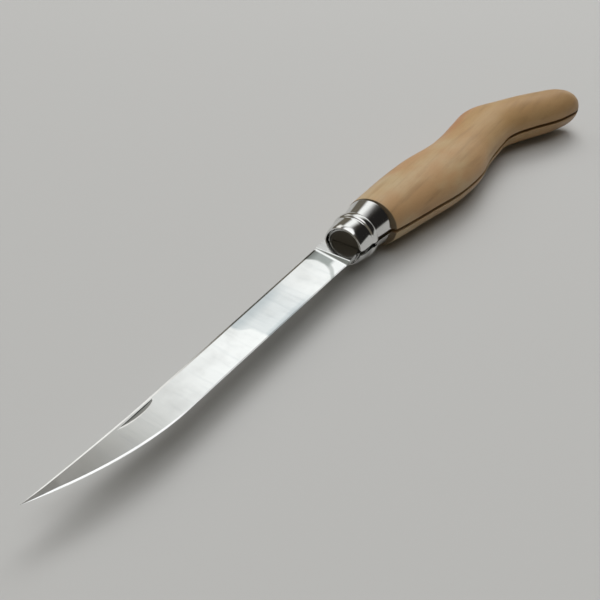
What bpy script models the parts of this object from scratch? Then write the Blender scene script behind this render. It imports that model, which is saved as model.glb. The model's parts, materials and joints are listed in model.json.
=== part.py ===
"""A slim folding knife with a bent wooden handle and a turning lock ring.

The knife lies on its side with the blade open. Its own axis is X: the ring's front rim is at x = 0,
the blade points to -X and the butt to +X. The cutting edge and the handle's slot face -Y, and the
blade lies flat in the XY plane. Everything hangs from one empty, which puts the middle of the
underside of the whole knife at the world's origin.
"""
import math

import bmesh
import bpy
from mathutils import Matrix, Vector

MM = 0.001

# Gaps and clearances
FIT_GAP = 0.3 * MM           # between two pieces that touch or turn on each other
BLADE_PLAY = 0.3 * MM        # between a side of the blade and the slot
SLOT_CLEARANCE = 0.8 * MM    # between the folded cutting edge and the slot's floor
TANG_CLEARANCE = 0.4 * MM    # between the tang's round end and the slot's floor
CUT_MARGIN = 5.0 * MM        # how far a cutter runs past what it cuts

# Lock ring, a split steel ring with a flared rear lip
RING_LENGTH = 10.8 * MM
RING_FRONT_RADIUS = 8.5 * MM
RING_NECK_RADIUS = 9.45 * MM
RING_LIP_RADIUS = 10.25 * MM
RING_NECK_LENGTH = 7.2 * MM
RING_LIP_WIDTH = 1.2 * MM
RING_WALL = 0.8 * MM
RING_EDGE_ROUND = 0.25 * MM
RING_GAP_EXTRA = 0.2 * MM    # how much wider than the handle's slot the ring's gap is, on each side

# Fixed collar, a slotted steel sleeve with a bare, widening rear band
COLLAR_LENGTH = 21.2 * MM
COLLAR_SETBACK = 0.9 * MM
COLLAR_WALL = 0.7 * MM
BAND_FRONT_RADIUS = 9.0 * MM
BAND_REAR_RADIUS = 10.55 * MM
BAND_RIM_WIDTH = 0.8 * MM

# Blade and tang, as distances from the ring's front rim and heights from the knife's axis
BLADE_LENGTH = 150.0 * MM
BLADE_THICKNESS = 1.6 * MM
SPINE_HEIGHT = 8.1 * MM
HEEL_DEPTH = 7.7 * MM
BELLY_START = 98.0 * MM
BELLY_DEPTH = 5.3 * MM
BELLY_POWER = 1.88
TIP_HEIGHT = 10.3 * MM
TIP_FLAT = 0.2 * MM
SPINE_SWEEP_START = 104.0 * MM
SPINE_SWEEP_POWER = 1.6
PLUNGE_SETBACK = 7.4 * MM
PLUNGE_WIDTH = 1.2 * MM
EDGE_BEVEL = 0.9 * MM
BEVEL_LIMIT = 0.45           # most of the blade's height that the edge bevel takes
EDGE_THICKNESS = 0.12 * MM
GRIND_THICKNESS = 0.42 * MM  # just above the edge bevel, at the heel
DISTAL_THINNING = 0.1 * MM   # off each side, from the plunge to where the belly starts
TIP_THINNING = 0.72          # share of its thickness that the blade loses along the belly
TANG_NECK_SETBACK = 1.5 * MM
TANG_NECK_DEPTH = 7.2 * MM
STEP_DRAFT = 0.3 * MM        # how much a step in the tang or the wood leans

# Nail nick, on the upper side
NICK_START = 102.2 * MM
NICK_LENGTH = 13.0 * MM
NICK_HEIGHT = 2.5 * MM
NICK_DEPTH = 0.4 * MM
NICK_FROM_SPINE = 1.4 * MM

# Pivot and fold
PIVOT_SETBACK = 7.0 * MM
RIVET_RADIUS = 1.5 * MM
RIVET_CHAMFER = 0.3 * MM
RIVET_RECESS = 0.2 * MM      # how far the rivet's ends lie under the collar's outer side
FOLD_ANGLE = math.radians(172.0)

# Handle
HANDLE_LENGTH = 163.2 * MM
SPIGOT_RECESS = 0.3 * MM     # the wood's end face behind the collar's front rim
SPIGOT_BACK_WALL = 0.9 * MM  # wood left behind the tang's round end
WOOD_LIP = 0.4 * MM          # how far the wood stands out over the collar's rear rim
SHOULDER_BULGE = 1.8 * MM    # how much further it stands out on the edge side
WOOD_EDGE_ROUND = 0.4 * MM
BUTT_ROUNDING = 13.0 * MM

# The handle's shape: distance from its shoulder, spine side, edge side, half the thickness
HANDLE_OUTLINE = (
    (8.0 * MM, 11.05 * MM, -14.9 * MM, 11.15 * MM),
    (23.2 * MM, 11.1 * MM, -18.3 * MM, 11.6 * MM),
    (43.2 * MM, 10.0 * MM, -22.8 * MM, 12.1 * MM),
    (63.2 * MM, 6.4 * MM, -24.0 * MM, 12.2 * MM),
    (78.2 * MM, 5.9 * MM, -21.9 * MM, 12.0 * MM),
    (93.2 * MM, 7.0 * MM, -21.0 * MM, 11.8 * MM),
    (108.2 * MM, 7.4 * MM, -21.4 * MM, 11.5 * MM),
    (123.2 * MM, 0.7 * MM, -27.5 * MM, 11.2 * MM),
    (138.2 * MM, -6.9 * MM, -35.3 * MM, 10.9 * MM),
    (153.2 * MM, -17.9 * MM, -39.9 * MM, 10.6 * MM),
)
BUTT_SPINE_SIDE = -24.0 * MM
BUTT_EDGE_SIDE = -43.0 * MM
BUTT_HALF_THICKNESS = 10.3 * MM

# Mesh fineness
ROUND_SEGMENTS = 64
ROD_SEGMENTS = 32
HANDLE_SEGMENTS = 40
HANDLE_STEPS = 44
BUTT_STEPS = 8
BELLY_STEPS = 12
TANG_STEPS = 8
NICK_STEPS = 12
SHARP_ANGLE = math.radians(30.0)

# Sizes that follow from the ones above, from the outside in
RING_BORE = RING_FRONT_RADIUS - RING_WALL
COLLAR_NECK_RADIUS = RING_BORE - FIT_GAP
COLLAR_BORE = COLLAR_NECK_RADIUS - COLLAR_WALL
SPIGOT_RADIUS = COLLAR_BORE - FIT_GAP
TANG_RADIUS = SPIGOT_RADIUS - SPIGOT_BACK_WALL - TANG_CLEARANCE
SLOT_WIDTH = BLADE_THICKNESS + 2 * BLADE_PLAY
RING_GAP = SLOT_WIDTH + 2 * RING_GAP_EXTRA
BAND_START = RING_LENGTH + FIT_GAP
SHOULDER = COLLAR_LENGTH + FIT_GAP
BUTT = SHOULDER + HANDLE_LENGTH
WOOD_FRONT_RADIUS = BAND_REAR_RADIUS + WOOD_LIP
RIVET_BORE = RIVET_RADIUS + FIT_GAP

PIVOT = Vector((PIVOT_SETBACK, 0.0, 0.0))


def material(name, colour, roughness, metallic):
    """Make a plain Principled material."""
    made = bpy.data.materials.new(name)
    made.use_nodes = True
    shader = made.node_tree.nodes["Principled BSDF"]
    shader.inputs["Base Color"].default_value = (*colour, 1.0)
    shader.inputs["Roughness"].default_value = roughness
    shader.inputs["Metallic"].default_value = metallic
    return made


def add_object(name, skin, knife, origin, finish=None):
    """Turn a skin in the knife's frame into an object on the knife, with its origin where asked."""
    bmesh.ops.recalc_face_normals(skin, faces=skin.faces)
    skin.transform(Matrix.Translation(-origin))
    mesh = bpy.data.meshes.new(name)
    skin.to_mesh(mesh)
    skin.free()
    mesh.shade_smooth()
    mesh.set_sharp_from_angle(angle=SHARP_ANGLE)
    made = bpy.data.objects.new(name, mesh)
    bpy.context.scene.collection.objects.link(made)
    made.parent = knife
    made.location = origin
    if finish:
        mesh.materials.append(finish)
    return made


def cut(target, cutter):
    """Take the cutter's shape out of the target, and hide the cutter."""
    modifier = target.modifiers.new(cutter.name, "BOOLEAN")
    modifier.operation = "DIFFERENCE"
    modifier.object = cutter
    cutter.hide_render = True
    cutter.display_type = "WIRE"


def loft(rings):
    """Join rings of as many points each into one closed skin with flat ends."""
    skin = bmesh.new()
    rows = [[skin.verts.new(point) for point in ring] for ring in rings]
    count = len(rows[0])
    for near, far in zip(rows, rows[1:]):
        for i in range(count):
            j = (i + 1) % count
            skin.faces.new((near[i], near[j], far[j], far[i]))
    skin.faces.new(reversed(rows[0]))
    skin.faces.new(rows[-1])
    return skin


def turned(profile):
    """Turn a closed profile of (x, radius) points round the X axis."""
    skin = bmesh.new()
    rows = []
    for step in range(ROUND_SEGMENTS):
        angle = 2 * math.pi * (step + 0.5) / ROUND_SEGMENTS
        rows.append([skin.verts.new((x, r * math.cos(angle), r * math.sin(angle))) for x, r in profile])
    count = len(profile)
    for i, row in enumerate(rows):
        beside = rows[(i + 1) % ROUND_SEGMENTS]
        for j in range(count):
            k = (j + 1) % count
            skin.faces.new((row[j], row[k], beside[k], beside[j]))
    return skin


def prism(outline, low, high):
    """Raise a flat outline of (x, y) points into a solid between two heights."""
    return loft([[(x, y, low) for x, y in outline], [(x, y, high) for x, y in outline]])


def rod(radius, half_length, chamfer=0.0):
    """An upright rod on the pivot."""
    levels = [(-half_length, radius - chamfer), (half_length, radius - chamfer)]
    if chamfer:
        levels[1:1] = [(chamfer - half_length, radius), (half_length - chamfer, radius)]
    angles = [2 * math.pi * step / ROD_SEGMENTS for step in range(ROD_SEGMENTS)]
    return loft([[(PIVOT.x + r * math.cos(a), r * math.sin(a), z) for a in angles] for z, r in levels])


def folded(x, y):
    """Where a point of the open blade lies once the blade is folded."""
    turn = Matrix.Rotation(FOLD_ANGLE, 3, "Z")
    point = turn @ (Vector((x, y, 0.0)) - PIVOT) + PIVOT
    return point.x, point.y


def between(start, end, share):
    """The value that lies a share of the way from start to end."""
    return start + (end - start) * share


# Blade


def belly_share(distance):
    """How far along the belly a point of the blade lies, from 0 to 1 at the tip."""
    return max(0.0, (distance - BELLY_START) / (BLADE_LENGTH - BELLY_START))


def edge_height(distance):
    """The cutting edge's height: straight from the heel, then curving up to the tip."""
    if distance <= BELLY_START:
        share = (distance - PLUNGE_SETBACK) / (BELLY_START - PLUNGE_SETBACK)
        return between(-HEEL_DEPTH, -BELLY_DEPTH, share)
    return between(-BELLY_DEPTH, TIP_HEIGHT - TIP_FLAT / 2, belly_share(distance) ** BELLY_POWER)


def spine_height(distance):
    """The spine's height: straight, then sweeping up a little to the tip."""
    share = max(0.0, (distance - SPINE_SWEEP_START) / (BLADE_LENGTH - SPINE_SWEEP_START))
    return between(SPINE_HEIGHT, TIP_HEIGHT + TIP_FLAT / 2, share ** SPINE_SWEEP_POWER)


def grind(distance, height):
    """Half the ground blade's thickness at a distance and height. It is a plane up to the belly."""
    slope = (BLADE_THICKNESS - GRIND_THICKNESS) / 2 / (SPINE_HEIGHT + HEEL_DEPTH - EDGE_BEVEL)
    run = BELLY_START - PLUNGE_SETBACK - PLUNGE_WIDTH
    thinning = DISTAL_THINNING * (distance - PLUNGE_SETBACK - PLUNGE_WIDTH) / run
    half = BLADE_THICKNESS / 2 - thinning - slope * (SPINE_HEIGHT - height)
    return half * (1.0 - TIP_THINNING * belly_share(distance))


def bevel_height(spine, edge):
    """Where the edge bevel starts. Near the tip it shrinks with the blade."""
    return edge + min(EDGE_BEVEL, (spine - edge) * BEVEL_LIMIT)


def blade_ring(x, spine, edge, spine_half, bevel_half, edge_half):
    """One cross-section of the blade: spine, bevel line and edge, on the upper and the lower side."""
    bevel = bevel_height(spine, edge)
    upper = [(x, spine, spine_half), (x, bevel, bevel_half), (x, edge, edge_half)]
    lower = [(x, edge, -edge_half), (x, bevel, -bevel_half), (x, spine, -spine_half)]
    return upper + lower


def tang_edge(x):
    """The tang's lower side in front of the pivot, from the round end to the neck and the heel."""
    neck = -TANG_NECK_SETBACK
    if x >= neck:
        return between(-TANG_RADIUS, -TANG_NECK_DEPTH, (PIVOT.x - x) / (PIVOT.x - neck))
    return between(-TANG_NECK_DEPTH, -HEEL_DEPTH, (neck - x) / (PLUNGE_SETBACK - TANG_NECK_SETBACK))


def blade_rings():
    """The blade's cross-sections, from the tang's round end to the tip."""
    half = BLADE_THICKNESS / 2
    rings = []
    for step in range(1, TANG_STEPS + 1):
        angle = math.pi / 2 * step / TANG_STEPS
        x = PIVOT.x + TANG_RADIUS * math.cos(angle)
        rise = TANG_RADIUS * math.sin(angle)
        rings.append(blade_ring(x, rise, -rise, half, half, half))
    stop = -FIT_GAP
    for x, spine in ((stop, TANG_RADIUS), (stop - STEP_DRAFT, SPINE_HEIGHT),
                     (-TANG_NECK_SETBACK, SPINE_HEIGHT), (-PLUNGE_SETBACK, SPINE_HEIGHT)):
        rings.append(blade_ring(x, spine, tang_edge(x), half, half, half))
    belly = BLADE_LENGTH - BELLY_START
    distances = [PLUNGE_SETBACK + PLUNGE_WIDTH, BELLY_START]
    distances += [BELLY_START + belly * step / BELLY_STEPS for step in range(1, BELLY_STEPS + 1)]
    for distance in distances:
        spine = spine_height(distance)
        edge = edge_height(distance)
        bevel_half = grind(distance, bevel_height(spine, edge))
        edge_half = min(EDGE_THICKNESS / 2, bevel_half)
        rings.append(blade_ring(-distance, spine, edge, grind(distance, spine), bevel_half, edge_half))
    return rings


def nick_cutter():
    """A crescent wedge: deep along its straight upper side, shallow at its curved lower side."""
    top = SPINE_HEIGHT - NICK_FROM_SPINE
    radius = (NICK_LENGTH ** 2 / 4 + NICK_HEIGHT ** 2) / (2 * NICK_HEIGHT)
    reach = math.asin(NICK_LENGTH / 2 / radius)
    middle = NICK_START + NICK_LENGTH / 2
    surface = grind(middle, top)
    outline = []
    for step in range(NICK_STEPS + 1):
        angle = between(-reach, reach, step / NICK_STEPS)
        drop = radius * math.cos(angle) - (radius - NICK_HEIGHT)
        outline.append((-middle + radius * math.sin(angle), top - drop, drop / NICK_HEIGHT))
    floor = [(x, y, surface - NICK_DEPTH * (1.0 - share)) for x, y, share in outline]
    roof = [(x, y, BLADE_THICKNESS) for x, y, share in outline]
    return loft([floor, roof])


def make_blade(knife):
    """The blade with its tang, its pivot hole and its nail nick. It turns on the pivot."""
    steel = material("polished_blade_steel", (0.80, 0.81, 0.83), 0.14, 1.0)
    blade = add_object("blade", loft(blade_rings()), knife, PIVOT, steel)
    cut(blade, add_object("tang_hole", rod(RIVET_BORE, BLADE_THICKNESS), knife, PIVOT))
    cut(blade, add_object("nick_cut", nick_cutter(), knife, PIVOT))


# Lock ring, fixed collar and pivot rivet


def slot_cutter(width, length):
    """A bar that opens a sleeve along its edge side."""
    reach = RING_LIP_RADIUS + BAND_REAR_RADIUS
    rear = length + CUT_MARGIN
    outline = [(-CUT_MARGIN, -reach), (rear, -reach), (rear, 0.0), (-CUT_MARGIN, 0.0)]
    return prism(outline, -width / 2, width / 2)


def make_lock_ring(knife):
    """The split ring that turns on the collar's neck. Its gap faces the slot when it is unlocked."""
    steel = material("chromed_ring_steel", (0.74, 0.74, 0.75), 0.10, 1.0)
    lip = RING_LENGTH - RING_LIP_WIDTH
    outside = [
        (0.0, RING_FRONT_RADIUS - RING_EDGE_ROUND),
        (RING_EDGE_ROUND, RING_FRONT_RADIUS),
        (RING_NECK_LENGTH, RING_NECK_RADIUS),
        (lip, RING_LIP_RADIUS),
        (RING_LENGTH - RING_EDGE_ROUND, RING_LIP_RADIUS),
        (RING_LENGTH, RING_LIP_RADIUS - RING_EDGE_ROUND),
    ]
    inside = [
        (RING_LENGTH, RING_LIP_RADIUS - RING_WALL),
        (lip, RING_LIP_RADIUS - RING_WALL),
        (RING_NECK_LENGTH, RING_NECK_RADIUS - RING_WALL),
        (0.0, RING_BORE),
    ]
    ring = add_object("lock_ring", turned(outside + inside), knife, Vector(), steel)
    cut(ring, add_object("ring_gap", slot_cutter(RING_GAP, RING_LENGTH), knife, Vector()))


def make_fixed_collar(knife):
    """The sleeve that is pressed on the handle's spigot: a neck under the ring and a bare rear band."""
    steel = material("chromed_collar_steel", (0.70, 0.70, 0.71), 0.12, 1.0)
    outside = [
        (COLLAR_SETBACK, COLLAR_NECK_RADIUS),
        (BAND_START, COLLAR_NECK_RADIUS),
        (BAND_START, BAND_FRONT_RADIUS),
        (COLLAR_LENGTH - BAND_RIM_WIDTH, BAND_REAR_RADIUS),
        (COLLAR_LENGTH, BAND_REAR_RADIUS),
    ]
    inside = [
        (COLLAR_LENGTH, BAND_REAR_RADIUS - COLLAR_WALL),
        (BAND_START + COLLAR_WALL, BAND_FRONT_RADIUS - COLLAR_WALL),
        (BAND_START + COLLAR_WALL, COLLAR_BORE),
        (COLLAR_SETBACK, COLLAR_BORE),
    ]
    collar = add_object("fixed_collar", turned(outside + inside), knife, Vector(), steel)
    cut(collar, add_object("collar_slot", slot_cutter(SLOT_WIDTH, COLLAR_LENGTH), knife, Vector()))
    cut(collar, add_object("collar_hole", rod(RIVET_BORE, BAND_REAR_RADIUS), knife, PIVOT))


def make_pivot_rivet(knife):
    """The cross-pin through the collar, the wood and the tang. The ring hides its ends."""
    steel = material("rivet_steel", (0.66, 0.66, 0.67), 0.25, 1.0)
    half_length = COLLAR_NECK_RADIUS - RIVET_RECESS
    add_object("pivot_rivet", rod(RIVET_RADIUS, half_length, RIVET_CHAMFER), knife, PIVOT, steel)


# Handle


def handle_rows():
    """The handle's driving sections, from the shoulder to the butt."""
    radius = WOOD_FRONT_RADIUS
    butt = (HANDLE_LENGTH, BUTT_SPINE_SIDE, BUTT_EDGE_SIDE, BUTT_HALF_THICKNESS)
    return [(0.0, radius, -radius - SHOULDER_BULGE, radius), *HANDLE_OUTLINE, butt]


def handle_section(distance):
    """Read the spine side, the edge side and half the thickness off a smooth curve through the rows."""
    rows = handle_rows()
    last = len(rows) - 2
    i = max(0, min(last, sum(row[0] <= distance for row in rows) - 1))
    span = rows[i + 1][0] - rows[i][0]
    t = (distance - rows[i][0]) / span
    values = []
    for column in (1, 2, 3):
        slopes = []
        for k in (i, i + 1):
            before = rows[max(k - 1, 0)]
            after = rows[min(k + 1, last + 1)]
            slopes.append((after[column] - before[column]) / (after[0] - before[0]) * span)
        start = rows[i][column]
        end = rows[i + 1][column]
        a = 2 * start - 2 * end + slopes[0] + slopes[1]
        b = 3 * end - 3 * start - 2 * slopes[0] - slopes[1]
        values.append(((a * t + b) * t + slopes[0]) * t + start)
    return values


def handle_ring(x, spine, edge, half_thickness):
    """One oval cross-section of the handle."""
    middle = (spine + edge) / 2
    width = (spine - edge) / 2
    ring = []
    for step in range(HANDLE_SEGMENTS):
        angle = 2 * math.pi * (step + 0.5) / HANDLE_SEGMENTS
        ring.append((x, middle + width * math.cos(angle), half_thickness * math.sin(angle)))
    return ring


def handle_rings():
    """The handle's cross-sections: the spigot, the shoulder, the carved body and the round butt."""
    step_back = BAND_START + COLLAR_WALL + FIT_GAP
    seat_front = BAND_FRONT_RADIUS - COLLAR_WALL - FIT_GAP
    seat_rear = BAND_REAR_RADIUS - COLLAR_WALL - FIT_GAP
    turned_part = [
        (COLLAR_SETBACK + SPIGOT_RECESS, SPIGOT_RADIUS),
        (step_back, SPIGOT_RADIUS),
        (step_back + STEP_DRAFT, seat_front),
        (SHOULDER - STEP_DRAFT, seat_rear),
    ]
    rings = [handle_ring(x, r, -r, r) for x, r in turned_part]
    front = WOOD_FRONT_RADIUS - WOOD_EDGE_ROUND
    rings.append(handle_ring(SHOULDER, front, -front - SHOULDER_BULGE, front))
    body = HANDLE_LENGTH - BUTT_ROUNDING - WOOD_EDGE_ROUND
    for step in range(HANDLE_STEPS + 1):
        distance = WOOD_EDGE_ROUND + body * step / HANDLE_STEPS
        rings.append(handle_ring(SHOULDER + distance, *handle_section(distance)))
    for step in range(1, BUTT_STEPS + 1):
        angle = math.pi / 2 * step / (BUTT_STEPS + 0.5)
        distance = HANDLE_LENGTH - BUTT_ROUNDING + BUTT_ROUNDING * math.sin(angle)
        spine, edge, half = handle_section(distance)
        middle = (spine + edge) / 2
        width = (spine - edge) / 2 * math.cos(angle)
        ring = (middle + width, middle - width, half * math.cos(angle))
        rings.append(handle_ring(SHOULDER + distance, *ring))
    return rings


def slot_outline():
    """The slot's outline: the tang's room at the front, then a floor behind the folded cutting edge."""
    far = min(row[2] for row in handle_rows()) - CUT_MARGIN
    tang_room = TANG_RADIUS + TANG_CLEARANCE
    front = [(-CUT_MARGIN, far), (-CUT_MARGIN, tang_room), (PIVOT.x, tang_room)]
    belly = BLADE_LENGTH - BELLY_START
    edge = [(TANG_NECK_SETBACK, -TANG_NECK_DEPTH), (PLUNGE_SETBACK, -HEEL_DEPTH)]
    for step in range(BELLY_STEPS + 1):
        distance = BELLY_START + belly * step / BELLY_STEPS
        edge.append((distance, edge_height(distance)))
    floor = [folded(-distance, height - SLOT_CLEARANCE) for distance, height in edge]
    tip = folded(-BLADE_LENGTH - SLOT_CLEARANCE, TIP_HEIGHT - SLOT_CLEARANCE)
    run_out = [(BUTT, BUTT_EDGE_SIDE), (BUTT, far)]
    return front + floor + [tip] + run_out


def make_handle(knife):
    """The one-piece wooden handle: turned spigot, carved body, blade slot and rivet hole."""
    wood = material("oiled_fruitwood", (0.58, 0.38, 0.22), 0.48, 0.0)
    handle = add_object("handle", loft(handle_rings()), knife, Vector(), wood)
    slot = prism(slot_outline(), -SLOT_WIDTH / 2, SLOT_WIDTH / 2)
    cut(handle, add_object("handle_slot", slot, knife, Vector()))
    cut(handle, add_object("handle_hole", rod(RIVET_BORE, BAND_REAR_RADIUS), knife, PIVOT))


def stand_on_origin(knife):
    """Move the knife so that the middle of its underside is at the world's origin."""
    bpy.context.view_layer.update()
    depsgraph = bpy.context.evaluated_depsgraph_get()
    points = []
    for piece in knife.children:
        if not piece.hide_render:
            seen = piece.evaluated_get(depsgraph)
            points += [seen.matrix_world @ vertex.co for vertex in seen.data.vertices]
    low = Vector([min(point[axis] for point in points) for axis in range(3)])
    high = Vector([max(point[axis] for point in points) for axis in range(3)])
    knife.location = (-(low.x + high.x) / 2, -(low.y + high.y) / 2, -low.z)
    bpy.context.view_layer.update()


def main():
    """Clear the scene and build the knife."""
    for old in list(bpy.data.objects):
        bpy.data.objects.remove(old)
    knife = bpy.data.objects.new("knife", None)
    bpy.context.scene.collection.objects.link(knife)
    make_handle(knife)
    make_fixed_collar(knife)
    make_pivot_rivet(knife)
    make_blade(knife)
    make_lock_ring(knife)
    stand_on_origin(knife)


main()
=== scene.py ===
"""Dress the folding ham knife: carved handle, polished blade, steel collar, lock ring and pivot rivet.

The knife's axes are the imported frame's: +X runs from the blade's tip to the handle's butt, +Y from the
cutting edge to the spine, and +Z is square to the blade's flat. All sizes are in metres. Each piece is
modelled along the knife's own axis, where x is the distance from the lock ring's front rim, and the
place of the primitive that it starts from is carried into its mesh.
"""
import json
import logging
import math
from collections.abc import Callable, Iterable, Mapping, Sequence
from dataclasses import dataclass
from enum import Enum
from typing import Any, NamedTuple

import bmesh
import bpy
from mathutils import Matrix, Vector


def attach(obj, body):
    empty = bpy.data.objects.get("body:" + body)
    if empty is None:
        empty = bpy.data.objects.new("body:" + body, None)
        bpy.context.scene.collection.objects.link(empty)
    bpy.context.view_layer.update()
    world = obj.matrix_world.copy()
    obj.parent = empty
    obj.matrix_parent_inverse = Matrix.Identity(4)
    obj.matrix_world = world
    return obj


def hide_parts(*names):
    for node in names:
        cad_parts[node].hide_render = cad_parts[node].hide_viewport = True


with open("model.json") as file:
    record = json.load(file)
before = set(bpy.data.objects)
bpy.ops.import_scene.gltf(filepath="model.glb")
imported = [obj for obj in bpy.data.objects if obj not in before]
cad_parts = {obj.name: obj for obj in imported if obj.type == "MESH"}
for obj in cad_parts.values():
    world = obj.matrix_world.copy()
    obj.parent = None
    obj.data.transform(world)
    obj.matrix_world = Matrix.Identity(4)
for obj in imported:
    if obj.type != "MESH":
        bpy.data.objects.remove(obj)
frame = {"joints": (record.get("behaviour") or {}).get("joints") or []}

LOG = logging.getLogger("ham_knife")
MM = 0.001

Colour = tuple[float, float, float]
Corner = tuple[float, float]
Heading = tuple[float, float]
Span = tuple[float, float]


# Shader maths


class Signal:
    """A value, colour or vector that nodes work out. Arithmetic on it adds Math nodes."""

    def __init__(self, sheet: "NodeSheet", socket: bpy.types.NodeSocket) -> None:
        """Keep the socket that carries the value, and the sheet that it is on."""
        self.sheet = sheet
        self.socket = socket

    def output(self, key: int | str) -> "Signal":
        """Another output of the same node."""
        return Signal(self.sheet, self.socket.node.outputs[key])

    def _math(self, operation: str, first: "Signal | float", second: "Signal | float") -> "Signal":
        """One Math node on two terms."""
        return self.sheet.node("ShaderNodeMath", {"operation": operation}, {0: first, 1: second})

    def __add__(self, other: "Signal | float") -> "Signal":
        """Sum."""
        return self._math("ADD", self, other)

    def __radd__(self, other: float) -> "Signal":
        """Sum, with the number first."""
        return self._math("ADD", other, self)

    def __sub__(self, other: "Signal | float") -> "Signal":
        """Difference."""
        return self._math("SUBTRACT", self, other)

    def __rsub__(self, other: float) -> "Signal":
        """Difference, with the number first."""
        return self._math("SUBTRACT", other, self)

    def __mul__(self, other: "Signal | float") -> "Signal":
        """Product."""
        return self._math("MULTIPLY", self, other)

    def __rmul__(self, other: float) -> "Signal":
        """Product, with the number first."""
        return self._math("MULTIPLY", other, self)

    def __abs__(self) -> "Signal":
        """Distance from zero."""
        return self._math("ABSOLUTE", self, 0.0)


class NodeSheet:
    """The nodes of one material or of the world."""

    def __init__(self, owner: bpy.types.Material | bpy.types.World) -> None:
        """Give the owner an empty tree of nodes.

        Args:
            owner: The material or world.
        """
        owner.use_nodes = True
        self.tree = owner.node_tree
        self.tree.nodes.clear()

    def node(
        self,
        kind: str,
        settings: Mapping[str, Any] | None = None,
        inputs: Mapping[int | str, Any] | None = None,
        output: int | str = 0,
    ) -> Signal:
        """Add a node.

        Args:
            kind: The node's type.
            settings: Its properties, set first.
            inputs: A value or a link for each of its sockets.
            output: The output that is wanted.

        Returns:
            The signal at that output, or at the first input of a node that ends the sheet.
        """
        made = self.tree.nodes.new(kind)
        for name, value in (settings or {}).items():
            setattr(made, name, value)
        for key, value in (inputs or {}).items():
            if isinstance(value, Signal):
                self.tree.links.new(value.socket, made.inputs[key])
            else:
                made.inputs[key].default_value = value
        return Signal(self, made.outputs[output] if made.outputs else made.inputs[0])

    def place(self, origin: Vector) -> Signal:
        """The Object coordinates, counted from an origin."""
        local = self.node("ShaderNodeTexCoord", output="Object")
        return self.node("ShaderNodeMapping", inputs={"Vector": local, "Location": -origin})

    def axes(self, place: Signal) -> tuple[Signal, Signal, Signal]:
        """The x, y and z of a place or direction."""
        parts = self.node("ShaderNodeSeparateXYZ", inputs={0: place})
        return parts.output(0), parts.output(1), parts.output(2)

    def stretched(self, place: Signal, scale: tuple[float, float, float]) -> Signal:
        """Coordinates scaled along each axis."""
        return self.node("ShaderNodeMapping", inputs={"Vector": place, "Scale": scale})

    def noise(self, place: Signal, scale: float, detail: float, roughness: float) -> Signal:
        """A cloudy noise from 0 to 1."""
        inputs = {"Vector": place, "Scale": scale, "Detail": detail, "Roughness": roughness}
        return self.node("ShaderNodeTexNoise", inputs=inputs)

    def step(self, value: Signal, start: float, end: float) -> Signal:
        """A smooth step from 0 at start to 1 at end."""
        inputs = {"Value": value, "From Min": start, "From Max": end}
        return self.node("ShaderNodeMapRange", {"interpolation_type": "SMOOTHSTEP"}, inputs)

    def facing(self, ray: Signal, direction: Sequence[float]) -> Signal:
        """How far a ray runs along a direction."""
        inputs = {0: ray, 1: direction}
        return self.node("ShaderNodeVectorMath", {"operation": "DOT_PRODUCT"}, inputs, "Value")

    def mix(self, share: Signal | float, first: Signal | Colour, second: Signal | Colour) -> Signal:
        """Mix two colours.

        Args:
            share: The second colour's share.
            first: The colour at a share of 0.
            second: The colour at a share of 1.

        Returns:
            The colour between them.
        """
        ends = [end if isinstance(end, Signal) else (*end, 1.0) for end in (first, second)]
        inputs = {0: share, 6: ends[0], 7: ends[1]}
        return self.node("ShaderNodeMix", {"data_type": "RGBA"}, inputs, output=2)

    def bump(self, height: Signal, depth: float) -> Signal:
        """A normal that follows a height, where 1 stands depth metres above 0."""
        inputs = {"Height": height, "Distance": depth, "Strength": 1.0}
        return self.node("ShaderNodeBump", inputs=inputs)

    def surface(self, inputs: Mapping[str, Any]) -> None:
        """End the sheet in a Principled shader."""
        shader = self.node("ShaderNodeBsdfPrincipled", inputs=inputs)
        self.node("ShaderNodeOutputMaterial", inputs={"Surface": shader})


# Finishes
# A span is where a change starts and where it is full. Along the knife it is counted from the ring's
# front rim, and across it from the knife's axis toward the spine.


@dataclass(frozen=True)
class Grain:
    """A noise drawn out along some axes. It shows from the start of its fade, at a share."""

    stretch: tuple[float, float, float]
    scale: float
    detail: float
    roughness: float
    fade: Span = (0.0, 1.0)
    share: float = 1.0

    def on(self, sheet: NodeSheet, place: Signal) -> Signal:
        """The noise, from 0 to 1."""
        return sheet.noise(sheet.stretched(place, self.stretch), self.scale, self.detail, self.roughness)

    def shown(self, sheet: NodeSheet, noise: Signal) -> Signal:
        """How strongly the noise shows."""
        return sheet.step(noise, *self.fade) * self.share


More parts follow.
